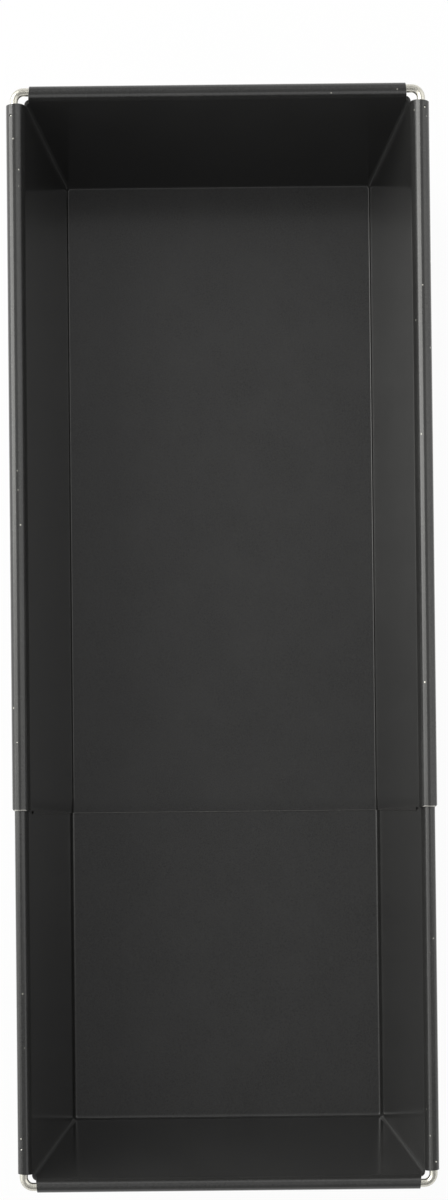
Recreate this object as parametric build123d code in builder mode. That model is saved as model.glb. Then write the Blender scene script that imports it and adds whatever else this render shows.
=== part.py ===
from build123d import *
from math import atan, cos, pi, radians, sin, tan
import os

os.makedirs("parts", exist_ok=True)

# Adjustable loaf pan: two folded trays, one sliding inside the other, each open at one end.
# X runs along the pan, Z is up, and the origin is on the table under the middle of the pan.
# The inner tray's closed end is at +X, and the outer tray's closed end is at -X.

# Driving sizes, in millimetres and degrees
rim_width = 115.0  # over the inner tray's side rolls
pan_height = 70.0  # from the table to the top of the inner tray's side rolls
shown_length = 300.0  # over both closed ends, as the two trays stand
tray_length = 197.8  # one tray, from its end roll to the open edge of its floor
sheet = 0.4  # coated tinplate
tray_gap = 0.2  # running gap between the nested sheets
wire_d = 2.2  # rim wire
wire_gap = 0.05  # between the wire and the roll around it
wire_bend = 2.6  # centreline radius of the rim wire's corners
inner_wire_leg = 11.0  # the inner tray's wire ends this far from its end roll's face
outer_wire_recess = 0.5  # the outer tray's wire ends this far inside its rolls
wall_lean = 6.3  # degrees that sides and ends lean outward
shoulder_bend = 4.4  # outer tray, on the food side where a wall turns out into its roll
shoulder_turn = 45.0  # degrees off level of the sheet where the tighter roll takes over
floor_bend = 0.5  # inner tray, on the food side between floor and walls
corner_bend = 1.1  # both trays, on the food side of the upright corner folds
wired_sweep = 275.0  # degrees of the roll around the wire, from the shoulder on
hook_sweep = 250.0  # degrees of the inner tray's side rolls, open below for the outer tray
roll_setback = 0.9  # side rolls stop this far short of the open edge
setback_depth = 4.0  # the wall below a roll is cut back with it, this far below the notches
roll_corner = 0.6  # corner taken off the outer side of that end of the rolls
lip_length = 4.4  # inner tray, the edge pressed thin so that dough slides over it
lip_depth = 0.2  # taken off the sheet at that edge
notch_inset = 0.75  # from the corner between the walls to the cuts at the ends of the rolls
notch_flare = 6.0  # degrees off square of those cuts
gusset_gap = 0.4  # between a gusset's top edge and the roll above it
stake_radius = 0.6  # round nose of the punch that stakes a roll to its wire
stake_depth_share = 0.4  # of the sheet
stake_angle = 68.0  # degrees above level, on the outward face of the roll
inner_stakes = (8.3, 7.1)  # from the end roll's face, on the +Y and the -Y side of the pan
outer_stakes = (7.5, 11.9)  # the same, on the -Y and the +Y side, because this tray is turned round
overrun = 5.0  # cuts run this far past what they cut

# Places that both trays share. A tray is drawn with its end roll's face at X = 0.
lean = radians(wall_lean)
wired_roll = wire_d / 2 + wire_gap + sheet  # outside radius of a roll around the wire
hook_roll = wired_roll + tray_gap + sheet  # outside radius of a roll around a wired roll
axis_x = -wired_roll
axis_y = rim_width / 2 - hook_roll
axis_z = pan_height - hook_roll
shoulder_back = shoulder_bend - wired_roll  # from a roll's axis to the centre of its shoulder
shoulder_out = shoulder_back * sin(radians(shoulder_turn))
shoulder_z = axis_z - shoulder_back * cos(radians(shoulder_turn))
notch_z = shoulder_z  # the sheet at a corner is cut down to this height, where the walls are flat


def wall_at(axis, radius, height):
    """Place, at a height, of the wall face that runs over a shoulder into a roll of this radius."""
    over = (radius + shoulder_back) / cos(lean)
    return axis + shoulder_out - over - (shoulder_z - height) * tan(lean)


def filled_form(floor_z, side_radius, end_radius, bend, corner):
    """Block inside one face of the folded sheet: the floor, both sides and the closed end."""
    half_foot = wall_at(axis_y, side_radius, floor_z)
    half_top = wall_at(axis_y, side_radius, notch_z)
    end_foot = wall_at(axis_x, end_radius, floor_z)
    end_top = wall_at(axis_x, end_radius, notch_z)
    with BuildPart() as form:
        with BuildSketch(Plane.YZ):
            Polygon(
                (-half_foot, floor_z),
                (half_foot, floor_z),
                (half_top, notch_z),
                (-half_top, notch_z),
                align=None,
            )
        extrude(amount=-tray_length)
        with BuildSketch(Plane.XZ):
            Polygon(
                (-tray_length, floor_z),
                (end_foot, floor_z),
                (end_top, notch_z),
                (-tray_length, notch_z),
                align=None,
            )
        extrude(amount=rim_width, both=True, mode=Mode.INTERSECT)
        fillet(form.edges().group_by(Axis.Z)[1].sort_by(Axis.X)[-2:], radius=corner)
        fillet(form.edges().group_by(Axis.Z)[0].sort_by(Axis.X)[1:], radius=bend)
    return form


def gusset_pair(back_z, side_radius):
    """The two corner ears, each a doubled sheet folded flat against the outside of the end."""
    apex = wall_at(axis_y, side_radius, back_z)
    foot = wall_at(axis_x, wired_roll - sheet, back_z)
    rise = (notch_z - gusset_gap - back_z) / cos(lean)
    crease = tan(pi / 4 - 2 * atan(sin(lean)))
    wide = rim_width / 2 + overrun
    end_plane = Plane(origin=(foot, 0, back_z), x_dir=(0, 1, 0), z_dir=(cos(lean), 0, -sin(lean)))
    corner = corner_bend + sheet
    doubled = filled_form(back_z, side_radius, wired_roll - 3 * sheet, corner, corner)
    with BuildPart() as ears:
        with BuildSketch(end_plane):
            Polygon((apex, 0), (wide, 0), (wide, rise), (apex - rise * crease, rise), align=None)
            mirror(about=Plane.YZ)
        extrude(amount=overrun, both=True)
        add(doubled.part, mode=Mode.INTERSECT)
        for hand in (1, -1):
            across = hand * (apex - rise * crease / 2)
            fold = end_plane.from_local_coords((across, rise / 2, 2 * sheet))
            fillet(ears.edges().sort_by_distance(fold)[0], radius=sheet)
    return ears


def rolled_edge(plane, axis, radius, sweep):
    """Section of a rolled edge: the wall above the notch, its shoulder and the roll."""
    centre = (axis, axis_z)
    shoulder = (axis + shoulder_out, shoulder_z)
    inner_radius = radius - sheet
    start = 180 - wall_lean
    meet = 90 + shoulder_turn
    with BuildSketch(plane) as section:
        with BuildLine():
            food = CenterArc(shoulder, radius + shoulder_back, start, meet - start)
            back = CenterArc(shoulder, inner_radius + shoulder_back, start, meet - start)
            outside = CenterArc(centre, radius, meet, -sweep)
            inside = CenterArc(centre, inner_radius, meet, -sweep)
            Line(outside @ 1, inside @ 1)
            Polyline(
                food @ 0,
                (wall_at(axis, radius, notch_z), notch_z),
                (wall_at(axis, inner_radius, notch_z), notch_z),
                back @ 0,
            )
        make_face()
    return section


def tray_rolls(side_radius, side_sweep, stakes):
    """The rolled edges of one tray, notched at the corners and staked to the wire beside them."""
    side = rolled_edge(Plane.YZ, axis_y, side_radius, side_sweep)
    end = rolled_edge(Plane.XZ, axis_x, wired_roll, wired_sweep)
    flare = tan(radians(notch_flare))
    notch_x = wall_at(axis_x, wired_roll, notch_z) - notch_inset
    notch_y = wall_at(axis_y, side_radius, notch_z) - notch_inset
    open_x = roll_setback - tray_length
    edge_y = axis_y + side_radius
    far_y = rim_width / 2 + overrun
    stake_reach = side_radius + stake_radius - stake_depth_share * sheet
    stake_y = axis_y + stake_reach * cos(radians(stake_angle))
    stake_z = axis_z + stake_reach * sin(radians(stake_angle))
    with BuildPart() as rolls:
        extrude(side.sketch, amount=open_x)
        mirror(about=Plane.XZ)
        extrude(end.sketch, amount=axis_y, both=True)
        with BuildSketch(Plane.XY.offset(axis_z)):
            Polygon(
                (notch_x, notch_y),
                (notch_x - (far_y - notch_y) * flare, far_y),
                (overrun, far_y),
                (overrun, notch_y - (overrun - notch_x) * flare),
                align=None,
            )
            Polygon(
                (open_x, edge_y - roll_corner),
                (open_x + far_y - edge_y + roll_corner, far_y),
                (open_x, far_y),
                align=None,
            )
            mirror(about=Plane.XZ)
        extrude(amount=overrun, both=True, mode=Mode.SUBTRACT)
        with Locations((-stakes[0], stake_y, stake_z), (-stakes[1], -stake_y, stake_z)):
            Sphere(stake_radius, mode=Mode.SUBTRACT)
    return rolls


def folded_tray(floor_z, bend, side_radius, side_sweep, stakes):
    """One tray of folded sheet, closed at X = 0 and open at its other end."""
    back_z = floor_z - sheet
    back_side = side_radius - sheet
    setback_z = notch_z - setback_depth
    food = filled_form(floor_z, side_radius, wired_roll, bend, corner_bend)
    back = filled_form(back_z, back_side, wired_roll - sheet, bend + sheet, corner_bend + sheet)
    ears = gusset_pair(back_z, back_side)
    rolls = tray_rolls(side_radius, side_sweep, stakes)
    with BuildPart() as tray:
        add(back.part)
        add(ears.part)
        add(food.part, mode=Mode.SUBTRACT)
        with BuildSketch(Plane.YZ.offset(roll_setback - tray_length)):
            with Locations((0, setback_z)):
                Rectangle(rim_width, pan_height, align=(Align.CENTER, Align.MIN))
        extrude(amount=-overrun, mode=Mode.SUBTRACT)
        add(rolls.part)
    return tray


def pressed_lip(floor_z, bend, side_radius):
    """What pressing takes off the food side of a tray along its open edge: a shallow taper."""
    with BuildPart() as lip:
        for inward in (lip_length + overrun, -overrun):
            depth = lip_depth * (1 - inward / lip_length)
            foot_z = floor_z - depth
            half_foot = wall_at(axis_y, side_radius - depth, foot_z)
            half_top = wall_at(axis_y, side_radius - depth, notch_z)
            with BuildSketch(Plane.YZ.offset(inward - tray_length)) as section:
                Polygon(
                    (-half_foot, foot_z),
                    (half_foot, foot_z),
                    (half_top, notch_z),
                    (-half_top, notch_z),
                    align=None,
                )
                fillet(section.vertices().group_by(Axis.Y)[0], radius=bend + depth)
        loft(ruled=True)
    return lip


def rim_wire(leg_end):
    """Steel wire that stiffens a rim: across the closed end and back along both sides."""
    with BuildPart() as wire:
        with BuildLine() as route:
            FilletPolyline(
                (leg_end, axis_y, axis_z),
                (axis_x, axis_y, axis_z),
                (axis_x, -axis_y, axis_z),
                (leg_end, -axis_y, axis_z),
                radius=wire_bend,
            )
        with BuildSketch(route.line ^ 0):
            Circle(wire_d / 2)
        sweep()
    return wire


# The two trays' closed ends, which face away from each other
inner_place = Location((shown_length / 2, 0, 0))
outer_place = Location((-shown_length / 2, 0, 0), (0, 0, 180))

# Outer tray: lies on the table, with a roll around its wire along both sides
outer_floor = sheet
outer_bend = floor_bend + sheet + tray_gap
with BuildPart() as outer_tray:
    with Locations(outer_place):
        add(folded_tray(outer_floor, outer_bend, wired_roll, wired_sweep, outer_stakes).part)
outer_tray.part.label = "outer_tray"
export_step(outer_tray.part, "parts/outer_tray.step")

# Inner tray: one gap above the outer tray, with wider side rolls that hook over the outer's
inner_floor = outer_floor + tray_gap + sheet
with BuildPart() as inner_tray:
    with Locations(inner_place):
        add(folded_tray(inner_floor, floor_bend, hook_roll, hook_sweep, inner_stakes).part)
        add(pressed_lip(inner_floor, floor_bend, hook_roll).part, mode=Mode.SUBTRACT)
inner_tray.part.label = "inner_tray"
export_step(inner_tray.part, "parts/inner_tray.step")

# Outer rim wire: its legs fill the outer tray's side rolls
with BuildPart() as outer_rim_wire:
    with Locations(outer_place):
        add(rim_wire(roll_setback + outer_wire_recess - tray_length).part)
outer_rim_wire.part.label = "outer_rim_wire"
export_step(outer_rim_wire.part, "parts/outer_rim_wire.step")

# Inner rim wire: short legs, because the hooks beyond them hold the outer tray's rolls
with BuildPart() as inner_rim_wire:
    with Locations(inner_place):
        add(rim_wire(-inner_wire_leg).part)
inner_rim_wire.part.label = "inner_rim_wire"
export_step(inner_rim_wire.part, "parts/inner_rim_wire.step")
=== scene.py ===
from math import cos, pi, radians, sin, tan

import bmesh
import bpy
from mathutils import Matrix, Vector


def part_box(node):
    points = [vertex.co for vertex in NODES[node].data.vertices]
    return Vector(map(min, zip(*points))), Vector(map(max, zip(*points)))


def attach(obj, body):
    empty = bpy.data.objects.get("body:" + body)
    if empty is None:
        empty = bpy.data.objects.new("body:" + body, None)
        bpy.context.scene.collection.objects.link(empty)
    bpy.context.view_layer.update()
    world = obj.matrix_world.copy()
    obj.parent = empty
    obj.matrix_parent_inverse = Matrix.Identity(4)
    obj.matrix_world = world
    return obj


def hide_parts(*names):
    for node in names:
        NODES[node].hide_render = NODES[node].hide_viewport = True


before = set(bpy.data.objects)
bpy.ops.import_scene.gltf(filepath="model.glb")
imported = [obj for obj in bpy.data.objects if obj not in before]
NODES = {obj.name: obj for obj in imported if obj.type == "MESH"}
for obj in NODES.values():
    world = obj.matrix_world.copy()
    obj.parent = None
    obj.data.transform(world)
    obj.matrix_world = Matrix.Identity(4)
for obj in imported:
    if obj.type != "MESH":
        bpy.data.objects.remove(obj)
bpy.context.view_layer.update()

# Looks of the adjustable loaf pan: an outer and an inner tray of coated tinplate, and their wires.
# Lengths are metres. X runs along the pan, Y across it and Z up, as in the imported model.
MM = 0.001

# Camera: nearly straight above the pan, with the inner tray's end at the top of the picture
CAMERA_PLACE = (-0.045442, 0.0, 0.730658)
CAMERA_TURN = (0.8267, 0.0183, -90.6006)  # degrees
CAMERA_LENS = 73.43
CAMERA_SENSOR = 36.0
CAMERA_SHIFT = 0.1402

# Studio
WHITE = (1.0, 1.0, 1.0, 1.0)
FLOOR_RADIUS = 6.0
FLOOR_CORNERS = 96
FLOOR_DROP = 0.05 * MM  # keeps the floor and the pan's underside from lying in one plane
FLOOR_COLOUR = (0.86, 0.86, 0.86)
FLOOR_GLOW_SHARE = 0.95  # part of the floor that the camera sees as plain white
MIRRORED_GLOW_SHARE = 0.5  # the same where the pan mirrors the floor
WORLD_FILL = 0.87  # the world's light on the pan, where the camera sees 1
WORLD_ROOF = 0.52  # its brightness overhead, past the inner tray's end
WORLD_ROOF_DIM = 0.6 * WORLD_ROOF  # the same past the outer tray's end
ROOF_DIMS = (-0.2, 0.15)  # X of the directions between which the roof goes from dim to full
ROOF_RISES = (0.3, 0.6)  # Z of the directions between which white turns to roof
LAMP_DISTANCE = 1.1
LAMP_COLOUR = (1.0, 0.997, 0.965)

# Sheet edges
WELD = 0.002 * MM
FLAT_ANGLE = radians(0.2)
SHARP_ANGLE = radians(40.0)
SMOOTH_ANGLE = radians(32.0)
CUT_WIDTH = 0.45 * MM  # a cut across the sheet is narrower than this
SHORT_EDGE = 0.6 * MM
LEVEL_CUT = 0.9  # a cut that points up more than this is where a wall is set back, and stays coated
EDGE_BURR = 0.06 * MM  # rounding that shearing leaves
EDGE_SEGMENTS = 2
ROLL_END_BURR = 0.34 * MM
ROLL_END_SEGMENTS = 3
COATED = 0  # place of each material on a tray
BARE = 1

# Side rolls: their common axis, their ends beside the open edges, their hollows and stake marks
ROLL_AXIS = Vector((55.35 * MM, 67.85 * MM))  # Y and Z
ROLL_END_X = 46.9 * MM
ROLL_END_SLACK = 0.02 * MM
ROLL_INNER_Y = 53.7 * MM  # a roll's end lies outside this, and the wall below it inside
ROLL_LOW_Z = 66.6 * MM  # and above this
ROLL_HOLLOW = {"inner_tray": 1.75 * MM, "outer_tray": 1.15 * MM}  # radius of a roll's inside
HOLLOW_SLACK = 0.1 * MM  # the outer rim of a roll's end is more than this outside its hollow
STAKES = {  # the deepest point of each stake mark
    "inner_tray": ((141.7 * MM, 56.1 * MM, 69.7 * MM), (142.9 * MM, -56.1 * MM, 69.7 * MM)),
    "outer_tray": ((-138.1 * MM, 55.87 * MM, 69.14 * MM), (-142.5 * MM, -55.87 * MM, 69.14 * MM)),
}

# Coat: its shades and gloss, and how many grains of each pattern lie along a metre
COAT_SHADE = (0.033, 0.033, 0.0325)
COAT_DARK = 0.7  # flake and mottle take the shade down by this factor
COAT_LIGHT = 1.35  # and up by this one
COAT_SPAN = (0.34, 0.68)  # values of flake and mottle together at the darkest and the lightest
COAT_METALLIC = 0.3
COAT_ROUGHNESS = (0.225, 0.245)  # where the mottle is low and where it is high
FLAKE_ROUGHNESS = 0.015  # the flake takes it down and up by this
COAT_REFLECTION = 0.35
LACQUER = 0.7  # the clear gloss on top of the coat
LACQUER_ROUGHNESS = 0.14
WORN_SHADE = (0.13, 0.128, 0.124)
FLAKES = 4200.0
FLAKE_SHARE = 0.75
MOTTLES = 60.0
GLINTS = 6500.0
GLINTING = (0.9, 0.97)  # only the cells with the highest values glint
GLINT_STRENGTH = 0.4
WAVES = 20.0
WAVE_HEIGHT = 0.1 * MM
DRAWN_STREAKS = 1500.0
DRAWN_OUT = (0.04, 1.0, 1.0)  # stretches the streaks along the pan
STREAK_HEIGHT = 0.016 * MM

# Chips and stake marks
CHIPS = 240.0
CHIP_SIZE = (0.04, 0.065)  # share of a cell where a chip fades from its middle to its rim
CHIP_STRENGTH = 0.75
CHIPS_RISE = (68.0 * MM, 68.6 * MM)  # chips are on the rims, above these heights
STAKE_BARE = (0.2 * MM, 0.26 * MM)  # radius of the bare spot in a stake mark, and of its fading rim
RAGS = 2600.0
RAG_SHIFT = 0.25 * MM  # makes chips and stake marks ragged

# Wear of the coat along the folds, on the outside
FOOT_SIDE = 45.8 * MM  # where the outside of the side walls meets the floor's level, from the middle
FOOT_END = 139.2 * MM  # the same for the ends
WALL_SLOPE = tan(radians(6.3))
CORNER_WEAR = (-1.1 * MM, -0.4 * MM)  # wear starts and is full this far in from both walls' outsides
FOOT_WEAR_IN = (-1.5 * MM, -0.8 * MM)  # the same along a wall's foot, from that wall's outside
FOOT_WEAR_UP = (0.4 * MM, 1.1 * MM)  # the foot's wear is full and ends at these heights
OUTWARD_FACE = (0.0, 1.0 * MM)  # place along the normal, which is positive on the outside
PATCHES = 1600.0
PATCH_EDGES = (0.42, 0.72)
PATCH_STRENGTH = 0.9

# Bare steel
STEEL_SHADE = (0.76, 0.74, 0.66)
STEEL_DARK = 0.78  # the darkest streak's shade, as a part of the steel's
STEEL_SPAN = (0.25, 0.75)  # values of the streaks at the darkest and the lightest
STEEL_ROUGH_SPREAD = 0.06
STEEL_GRAIN_HEIGHT = 0.008 * MM
WIRE_ROUGHNESS = 0.28
WIRE_STREAKS = 2600.0
CUT_SHADE = (0.55, 0.54, 0.5)
CUT_ROUGHNESS = 0.32
CUT_STREAKS = 3000.0
NOISE_SPAN = (0.3, 0.7)  # most of a noise's values lie between these


class Graph:
    """Short spelling for the nodes of one material or world."""

    def __init__(self, tree):
        self.tree = tree
        tree.nodes.clear()

    def node(self, kind, **inputs):
        """Adds a node. Its inputs are set or linked by their names, or by their places as _0, _1."""
        made = self.tree.nodes.new("ShaderNode" + kind)
        for name, value in inputs.items():
            socket = made.inputs[int(name[1:])] if name[0] == "_" else made.inputs[name]
            if isinstance(value, bpy.types.NodeSocket):
                self.tree.links.new(value, socket)
            else:
                socket.default_value = value
        return made

    def math(self, operation, first, second=0.0):
        made = self.node("Math", _0=first, _1=second)
        made.operation = operation
        return made.outputs[0]

    def vector(self, operation, *inputs):
        made = self.node("VectorMath", **{"_%d" % at: value for at, value in enumerate(inputs)})
        made.operation = operation
        return made.outputs["Value" if operation in ("DISTANCE", "DOT_PRODUCT") else "Vector"]

    def axes(self, value):
        return self.node("SeparateXYZ", Vector=value).outputs

    def noise(self, place, scale, detail):
        return self.node("TexNoise", Vector=place, Scale=scale, Detail=detail).outputs["Fac"]

    def cells(self, place, scale):
        return self.node("TexVoronoi", Vector=place, Scale=scale).outputs

    def between(self, value, span, first, last):
        """Goes from first to last while a value crosses a span, and no further."""
        made = self.node("MapRange", _0=value, _1=span[0], _2=span[1], _3=first, _4=last)
        return made.outputs[0]

    def ramp(self, value, span, dark, light):
        """Goes from a dark colour to a light one while a value crosses a span."""
        made = self.node("ValToRGB", Fac=value)
        for stop, position, colour in zip(made.color_ramp.elements, span, (dark, light)):
            stop.position = position
            stop.color = (*colour, 1.0)
        return made.outputs["Color"]

    def mix_colour(self, share, first, second):
        return self.node("MixRGB", Fac=share, Color1=first, Color2=second).outputs["Color"]

    def bump(self, height, distance, **below):
        """Relief of this height, over another relief if one is given as Normal."""
        made = self.node("Bump", Strength=1.0, Distance=distance, Height=height, **below)
        return made.outputs[0]

    def surface(self, **inputs):
        """The material's shader. An input's spaces are written as _."""
        named = {name.replace("_", " "): value for name, value in inputs.items()}
        shader = self.node("BsdfPrincipled", **named)
        self.node("OutputMaterial", Surface=shader.outputs[0])


def new_material(name):
    material = bpy.data.materials.new(name)
    material.use_nodes = True
    return material, Graph(material.node_tree)


def shades(colour, factor):
    return [factor * part for part in colour]


def fold_wear(g, place, normal, foot_z):
    """How far the coat is rubbed thin: in patches along the folds, on the tray's outside."""
    axes = g.axes(place)
    height = g.math("SUBTRACT", axes["Z"], foot_z)
    lean = g.math("MULTIPLY", height, WALL_SLOPE)
    side = g.math("SUBTRACT", g.math("ABSOLUTE", axes["Y"]), g.math("ADD", lean, FOOT_SIDE))
    end = g.math("SUBTRACT", g.math("ABSOLUTE", axes["X"]), g.math("ADD", lean, FOOT_END))
    corner = g.between(g.math("MINIMUM", side, end), CORNER_WEAR, 0.0, 1.0)
    near_wall = g.between(g.math("MAXIMUM", side, end), FOOT_WEAR_IN, 0.0, 1.0)
    foot = g.math("MULTIPLY", near_wall, g.between(height, FOOT_WEAR_UP, 1.0, 0.0))
    from_middle = g.vector("MULTIPLY", place, (1.0, 1.0, 0.0))
    outward = g.between(g.vector("DOT_PRODUCT", normal, from_middle), OUTWARD_FACE, 0.0, 1.0)
    on_fold = g.math("MULTIPLY", g.math("MAXIMUM", corner, foot), outward)
    patchy = g.between(g.noise(place, PATCHES, detail=6.0), PATCH_EDGES, 0.0, PATCH_STRENGTH)
    return g.math("MULTIPLY", on_fold, patchy)


def bare_spots(g, place, stakes):
    """Where the coat is off: in the stake marks and in a few small chips on the rims."""
    rags = g.node("TexNoise", Vector=place, Scale=RAGS, Detail=2.0).outputs["Color"]
    ragged = g.vector("MULTIPLY_ADD", rags, (RAG_SHIFT,) * 3, place)
    chip = g.between(g.cells(ragged, CHIPS)["Distance"], CHIP_SIZE, CHIP_STRENGTH, 0.0)
    bare = g.math("MULTIPLY", chip, g.between(g.axes(place)["Z"], CHIPS_RISE, 0.0, 1.0))
    for stake in stakes:
        mark = g.between(g.vector("DISTANCE", ragged, stake), STAKE_BARE, 1.0, 0.0)
        bare = g.math("MAXIMUM", bare, mark)
    return bare


def coating(node):
    """Satin metallic non-stick coat: dark, with fine flake, mottled gloss and a faintly wavy face."""
    material, g = new_material(node + "_coating")
    foot_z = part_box(node)[0][2]
    where = g.node("TexCoord").outputs
    place = where["Object"]
    flake = g.noise(place, FLAKES, detail=1.0)
    mottle = g.noise(place, MOTTLES, detail=3.0)
    tone = g.math(
        "ADD",
        g.math("MULTIPLY", flake, FLAKE_SHARE),
        g.math("MULTIPLY", mottle, 1.0 - FLAKE_SHARE),
    )
    coat = g.ramp(tone, COAT_SPAN, shades(COAT_SHADE, COAT_DARK), shades(COAT_SHADE, COAT_LIGHT))
    cell_value = g.axes(g.cells(place, GLINTS)["Color"])["X"]
    glint = g.between(cell_value, GLINTING, 0.0, GLINT_STRENGTH)
    worn = g.math("MAXIMUM", glint, fold_wear(g, place, where["Normal"], foot_z))
    colour = g.mix_colour(worn, coat, (*WORN_SHADE, 1.0))
    bare = bare_spots(g, place, STAKES[node])
    waves = g.bump(g.noise(place, WAVES, detail=1.0), WAVE_HEIGHT)
    drawn = g.noise(g.vector("MULTIPLY", place, DRAWN_OUT), DRAWN_STREAKS, detail=2.0)
    g.surface(
        Base_Color=g.mix_colour(bare, colour, (*STEEL_SHADE, 1.0)),
        Metallic=g.between(g.math("MAXIMUM", bare, worn), (0.0, 1.0), COAT_METALLIC, 1.0),
        Roughness=g.math(
            "ADD",
            g.between(mottle, NOISE_SPAN, *COAT_ROUGHNESS),
            g.between(flake, NOISE_SPAN, -FLAKE_ROUGHNESS, FLAKE_ROUGHNESS),
        ),
        Normal=g.bump(drawn, STREAK_HEIGHT, Normal=waves),
        Specular_IOR_Level=COAT_REFLECTION,
        Coat_Weight=LACQUER,
        Coat_Roughness=LACQUER_ROUGHNESS,
    )
    return material


def bare_steel(name, shade, roughness, streaks):
    """Bare tinned steel with fine streaks, this many to a metre."""
    material, g = new_material(name)
    streak = g.noise(g.node("TexCoord").outputs["Object"], streaks, detail=3.0)
    smoother = roughness - STEEL_ROUGH_SPREAD
    rougher = roughness + STEEL_ROUGH_SPREAD
    g.surface(
        Base_Color=g.ramp(streak, STEEL_SPAN, shades(shade, STEEL_DARK), shade),
        Metallic=1.0,
        Roughness=g.between(streak, NOISE_SPAN, smoother, rougher),
        Normal=g.bump(streak, STEEL_GRAIN_HEIGHT),
    )
    return material


def seen_plainly(g, mirrored=1.0):
    """1 for the camera's rays and this much for reflections, which see the backdrop as white."""
    ray = g.node("LightPath").outputs
    bounced = g.math("MAXIMUM", ray["Is Glossy Ray"], ray["Is Transmission Ray"])
    return g.math("MAXIMUM", ray["Is Camera Ray"], g.math("MULTIPLY", bounced, mirrored))


def studio_floor():
    """Pale floor: white to the camera and in reflections, but still shaded by the pan."""
    bpy.ops.mesh.primitive_circle_add(
        vertices=FLOOR_CORNERS, radius=FLOOR_RADIUS, fill_type="NGON"
    )
    floor = bpy.context.object
    floor.name = "studio_floor"
    floor.location.z = -FLOOR_DROP
    material, g = new_material("studio_floor")
    matt = g.node("BsdfDiffuse", Color=(*FLOOR_COLOUR, 1.0))
    glow = g.node("Emission", Color=WHITE, Strength=1.0)
    plainly = seen_plainly(g, MIRRORED_GLOW_SHARE / FLOOR_GLOW_SHARE)
    share = g.math("MULTIPLY", plainly, FLOOR_GLOW_SHARE)
    mixed = g.node("MixShader", _0=share, _1=matt.outputs[0], _2=glow.outputs[0])
    g.node("OutputMaterial", Surface=mixed.outputs[0])
    floor.data.materials.append(material)


def studio_world():
    """White round the horizon, as the backdrop, and dim overhead, as the room above the lamps."""
    world = bpy.data.worlds.new("studio")
    world.use_nodes = True
    bpy.context.scene.world = world
    g = Graph(world.node_tree)
    way = g.axes(g.node("TexCoord").outputs["Generated"])
    roof = g.between(way["X"], ROOF_DIMS, WORLD_ROOF_DIM, WORLD_ROOF)
    seen = g.between(way["Z"], ROOF_RISES, 1.0, roof)
    fill = g.between(seen_plainly(g), (0.0, 1.0), WORLD_FILL, 1.0)
    back = g.node("Background", Color=WHITE, Strength=g.math("MULTIPLY", seen, fill))
    g.node("OutputWorld", Surface=back.outputs[0])


def softbox(name, inner, outer, middle_x, length, level):
    """Large soft lamp that faces the pan.

    It spans the angles from inner to outer, in degrees off the vertical and positive to +Y. Its level
    is the brightness of its face, where 1 shows as white.
    """
    mid = radians((inner + outer) / 2)
    half = radians(abs(outer - inner) / 2)
    lamp = bpy.data.lights.new(name, "AREA")
    lamp.shape = "RECTANGLE"
    lamp.size = 2 * LAMP_DISTANCE * tan(half)
    lamp.size_y = length
    lamp.energy = level * pi * lamp.size * length
    lamp.color = LAMP_COLOUR
    holder = bpy.data.objects.new(name, lamp)
    to_lamp = Vector((0.0, sin(mid), cos(mid)))
    holder.location = LAMP_DISTANCE * to_lamp + Vector((middle_x, 0.0, 0.0))
    holder.rotation_mode = "QUATERNION"
    holder.rotation_quaternion = to_lamp.to_track_quat("Z", "X")
    holder.visible_camera = False
    bpy.context.scene.collection.objects.link(holder)


def photo_camera():
    camera = bpy.data.cameras.new("camera")
    camera.sensor_width = CAMERA_SENSOR
    camera.lens = CAMERA_LENS
    camera.shift_y = CAMERA_SHIFT
    holder = bpy.data.objects.new("camera", camera)
    holder.location = CAMERA_PLACE
    holder.rotation_euler = [radians(turn) for turn in CAMERA_TURN]
    bpy.context.scene.collection.objects.link(holder)
    bpy.context.scene.camera = holder


def sharp(edge):
    return len(edge.link_faces) == 2 and edge.calc_face_angle() > SHARP_ANGLE


def cut_faces(mesh):
    """The narrow faces across the sheet's thickness, where it was sheared."""
    found = []
    for face in mesh.faces:
        around = sum(edge.calc_length() for edge in face.edges)
        main = [edge for edge in face.edges if edge.calc_length() > SHORT_EDGE]
        if main and 2 * face.calc_area() < CUT_WIDTH * around and all(map(sharp, main)):
            found.append(face)
    return found


def burred_edges(mesh, cuts):
    """The edges that shearing leaves on both sides of these cuts, in the mesh's own order."""
    around = {edge for face in cuts for edge in face.edges}
    return [edge for edge in mesh.edges if edge in around and sharp(edge) and edge.is_convex]


def at_roll_end(edge, hollow):
    """True for the outer rim of a side roll's end, beside the tray's open edge."""
    middle = (edge.verts[0].co + edge.verts[1].co) / 2
    on_end = abs(abs(middle.x) - ROLL_END_X) < ROLL_END_SLACK
    on_roll = middle.z > ROLL_LOW_Z and abs(middle.y) > ROLL_INNER_Y
    from_axis = (Vector((abs(middle.y), middle.z)) - ROLL_AXIS).length
    return on_end and on_roll and from_axis > hollow + HOLLOW_SLACK


def rounded(mesh, edges, width, segments):
    """Rounds these edges with bare faces."""
    bmesh.ops.bevel(
        mesh,
        geom=edges,
        offset=width,
        offset_type="OFFSET",
        segments=segments,
        profile=0.5,
        affect="EDGES",
        clamp_overlap=False,
        material=BARE,
    )


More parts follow.
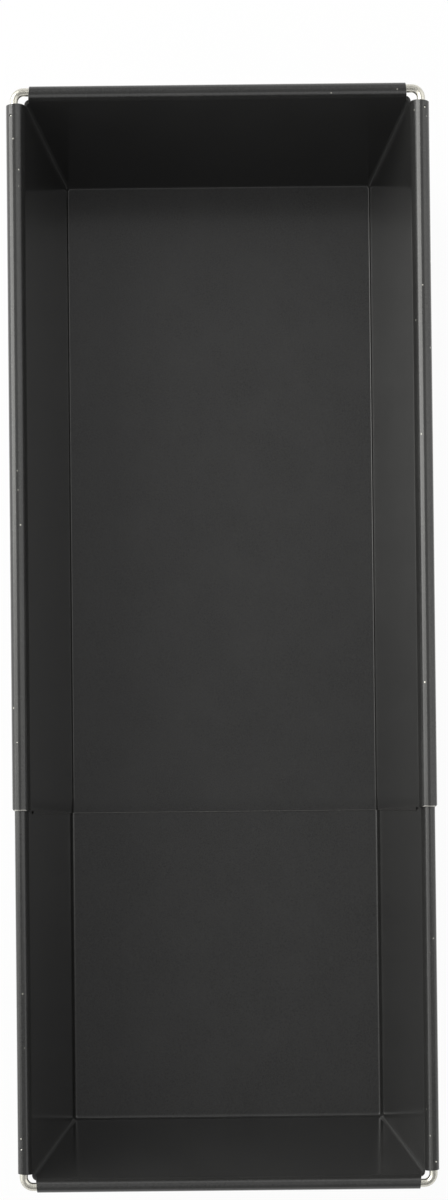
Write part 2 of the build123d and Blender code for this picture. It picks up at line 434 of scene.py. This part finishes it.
def sheet_mesh(node):
    """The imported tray's mesh, with its sheared faces bare and their edges rounded."""
    mesh = bmesh.new()
    mesh.from_mesh(NODES[node].data)
    bmesh.ops.remove_doubles(mesh, verts=mesh.verts, dist=WELD)
    bmesh.ops.dissolve_limit(mesh, angle_limit=FLAT_ANGLE, verts=mesh.verts, edges=mesh.edges)
    for face in mesh.faces:
        face.material_index = COATED
        face.smooth = True
    cuts = [face for face in cut_faces(mesh) if face.normal.z < LEVEL_CUT]
    for face in cuts:
        face.material_index = BARE
    ends = [edge for edge in burred_edges(mesh, cuts) if at_roll_end(edge, ROLL_HOLLOW[node])]
    rounded(mesh, ends, ROLL_END_BURR, ROLL_END_SEGMENTS)
    cuts = [face for face in cut_faces(mesh) if face.material_index == BARE]
    rounded(mesh, burred_edges(mesh, cuts), EDGE_BURR, EDGE_SEGMENTS)
    for edge in mesh.edges:
        edge.smooth = len(edge.link_faces) == 2 and edge.calc_face_angle() < SMOOTH_ANGLE
    data = bpy.data.meshes.new(node + "_sheet")
    mesh.to_mesh(data)
    mesh.free()
    return data


def finished_tray(node, body):
    """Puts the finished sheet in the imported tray's place."""
    tray = bpy.data.objects.new(node + "_sheet", sheet_mesh(node))
    bpy.context.scene.collection.objects.link(tray)
    tray.data.materials.append(coating(node))
    tray.data.materials.append(
        bare_steel(node + "_cut_edge", CUT_SHADE, CUT_ROUGHNESS, CUT_STREAKS)
    )
    even = tray.modifiers.new("even_normals", "WEIGHTED_NORMAL")
    even.keep_sharp = True
    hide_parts(node)
    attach(tray, body)


def finished_wire(node):
    """Makes a packed wire bright steel."""
    steel = bare_steel(node + "_steel", STEEL_SHADE, WIRE_ROUGHNESS, WIRE_STREAKS)
    NODES[node].data.materials.clear()
    NODES[node].data.materials.append(steel)


photo_camera()
studio_floor()
studio_world()
softbox("softbox_left_near", inner=19.0, outer=76.0, middle_x=0.57, length=0.9, level=3.05)
softbox("softbox_left_far", inner=19.0, outer=76.0, middle_x=0.45, length=1.0, level=1.36)
softbox("softbox_left_fill", inner=19.0, outer=87.0, middle_x=0.1, length=1.6, level=0.53)
softbox("softbox_right", inner=-18.0, outer=-58.0, middle_x=0.35, length=0.9, level=0.6)
softbox("softbox_right_fill", inner=-18.0, outer=-78.0, middle_x=0.42, length=1.15, level=0.2)

finished_tray("outer_tray", "outer")
finished_tray("inner_tray", "inner")
finished_wire("outer_rim_wire")
finished_wire("inner_rim_wire")

bpy.context.scene.view_settings.view_transform = "Standard"
